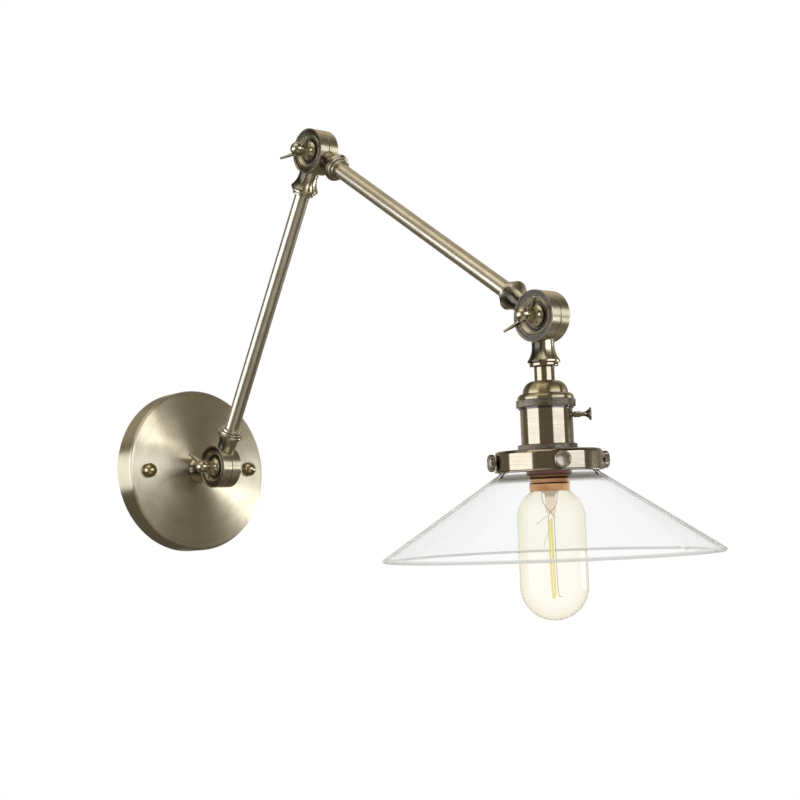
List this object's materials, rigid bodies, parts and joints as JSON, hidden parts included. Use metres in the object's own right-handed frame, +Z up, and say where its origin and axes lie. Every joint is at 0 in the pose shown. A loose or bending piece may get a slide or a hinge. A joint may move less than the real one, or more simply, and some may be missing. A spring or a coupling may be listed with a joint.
{
  "type": "swing arm wall lamp",
  "caption": "Round wall plate, two equal tubular arms on disc knuckles with wing nuts, tilting lampholder with a clear cone glass shade and a tube bulb",
  "frame": {"origin": "centre of the mounting bracket's back face, on the wall", "axes": "+Z up; +Y into the wall, so the lamp reaches out along -Y; X along the wall and along every arm hinge"},
  "size_m": [0.2192, 0.5127, 0.3761],
  "materials": {
    "cast_brass": "antique bronzed casting, satin",
    "drawn_brass": "antique bronzed drawn tube, satin",
    "turned_brass": "antique bronzed turning, satin",
    "spun_brass": "antique bronzed spun sheet, circular brushed",
    "zinc_steel": "zinc plated",
    "contact_brass": "bright brass",
    "copper": "dark copper",
    "porcelain": "white glazed",
    "black_plastic": "moulded",
    "shade_glass": "clear blown glass",
    "bulb_glass": "clear glass, faint straw tint",
    "nickel_brass": "bright rolled cap",
    "solder": "dull solder",
    "black_glass": "black vitrite",
    "wire": "nickel wire",
    "filament": "warm coiled wire"
  },
  "bodies": {
    "root": {"wall_plate": "spun_brass", "cap_nuts": "turned_brass", "bracket_studs": "zinc_steel", "mounting_bracket": "zinc_steel", "earth_screw": "contact_brass", "block_screw": "zinc_steel", "terminal_block": "black_plastic", "terminal_screws": "contact_brass", "plate_nipple": "zinc_steel", "plate_washer": "zinc_steel", "plate_lock_nut": "zinc_steel", "wall_knuckle": "cast_brass", "wall_knuckle_washer": "turned_brass"},
    "arm_1": {"arm_1_lower_knuckle": "cast_brass", "arm_1_lower_collar": "turned_brass", "arm_1_tube": "drawn_brass", "arm_1_upper_collar": "turned_brass", "arm_1_upper_knuckle": "cast_brass", "wall_knuckle_bolt": "turned_brass", "elbow_knuckle_washer": "turned_brass"},
    "arm_2": {"arm_2_upper_knuckle": "cast_brass", "arm_2_upper_collar": "turned_brass", "arm_2_tube": "drawn_brass", "arm_2_lower_collar": "turned_brass", "arm_2_lower_knuckle": "cast_brass", "elbow_knuckle_bolt": "turned_brass", "head_knuckle_washer": "turned_brass"},
    "head": {"head_knuckle": "cast_brass", "head_knuckle_bolt": "turned_brass", "head_collar": "turned_brass", "head_sleeve": "drawn_brass", "head_nipple": "zinc_steel", "socket_cap": "spun_brass", "cap_lock_nut": "zinc_steel", "knurled_ring": "turned_brass", "socket_shell": "spun_brass", "switch_body": "black_plastic", "socket_core": "porcelain", "centre_contact": "contact_brass", "socket_barrel": "copper", "screw_shell": "contact_brass", "shade_ring": "turned_brass", "inner_shade_ring": "turned_brass", "shade_holder": "spun_brass", "glass_shade": "shade_glass"},
    "wall_wing": {"wall_wing_nut": "turned_brass"},
    "elbow_wing": {"elbow_wing_nut": "turned_brass"},
    "head_wing": {"head_wing_nut": "turned_brass"},
    "switch_knob": {"switch_knob": "turned_brass"},
    "thumb_screw_1": {"thumb_screw_1": "turned_brass"},
    "thumb_screw_2": {"thumb_screw_2": "turned_brass"},
    "thumb_screw_3": {"thumb_screw_3": "turned_brass"},
    "thumb_screw_4": {"thumb_screw_4": "turned_brass"},
    "bulb": {"bulb_glass": "bulb_glass", "bulb_cap": "nickel_brass", "bulb_insulator": "black_glass", "bulb_contact": "solder", "bulb_stem": "bulb_glass", "bulb_supports": "wire", "bulb_filament": "filament"}
  },
  "joints": [
    {"name": "wall_joint", "type": "hinge", "parent": "root", "child": "arm_1", "pos_m": [0, -0.0495, 0], "axis": [-1, 0, 0], "range_deg": [-67.5, 32.5]},
    {"name": "elbow_joint", "type": "hinge", "parent": "arm_1", "child": "arm_2", "pos_m": [0, -0.19457, 0.22772], "axis": [-1, 0, 0], "range_deg": [-32, 94.7]},
    {"name": "head_tilt", "type": "hinge", "parent": "arm_2", "child": "head", "pos_m": [0, -0.40963, 0.06447], "axis": [1, 0, 0], "range_deg": [-89, 72]},
    {"name": "wall_wing_turn", "type": "hinge", "parent": "root", "child": "wall_wing", "pos_m": [0, -0.0495, 0], "axis": [-1, 0, 0], "range_deg": [-180, 0]},
    {"name": "elbow_wing_turn", "type": "hinge", "parent": "arm_1", "child": "elbow_wing", "pos_m": [0, -0.19457, 0.22772], "axis": [-1, 0, 0], "range_deg": [-180, 0]},
    {"name": "head_wing_turn", "type": "hinge", "parent": "arm_2", "child": "head_wing", "pos_m": [0, -0.40963, 0.06447], "axis": [-1, 0, 0], "range_deg": [-180, 0]},
    {"name": "switch_turn", "type": "hinge", "parent": "head", "child": "switch_knob", "pos_m": [0, -0.40692, -0.00017], "axis": [0.6561, -0.754, -0.0316], "continuous": true},
    {"name": "bulb_screw", "type": "hinge", "parent": "head", "child": "bulb", "pos_m": [0, -0.40335, -0.08539], "axis": [0, 0.0419, -0.9991], "range_deg": [-180, 0]},
    {"name": "thumb_screw_1_turn", "type": "hinge", "parent": "head", "child": "thumb_screw_1", "pos_m": [0, -0.40569, -0.02964], "axis": [-0.5736, -0.8184, -0.0343], "range_deg": [-180, 0]},
    {"name": "thumb_screw_2_turn", "type": "hinge", "parent": "head", "child": "thumb_screw_2", "pos_m": [0, -0.40569, -0.02964], "axis": [-0.8192, 0.5731, 0.024], "range_deg": [-180, 0]},
    {"name": "thumb_screw_3_turn", "type": "hinge", "parent": "head", "child": "thumb_screw_3", "pos_m": [0, -0.40569, -0.02964], "axis": [0.5736, 0.8184, 0.0343], "range_deg": [-180, 0]},
    {"name": "thumb_screw_4_turn", "type": "hinge", "parent": "head", "child": "thumb_screw_4", "pos_m": [0, -0.40569, -0.02964], "axis": [0.8192, -0.5731, -0.024], "range_deg": [-180, 0]}
  ]
}
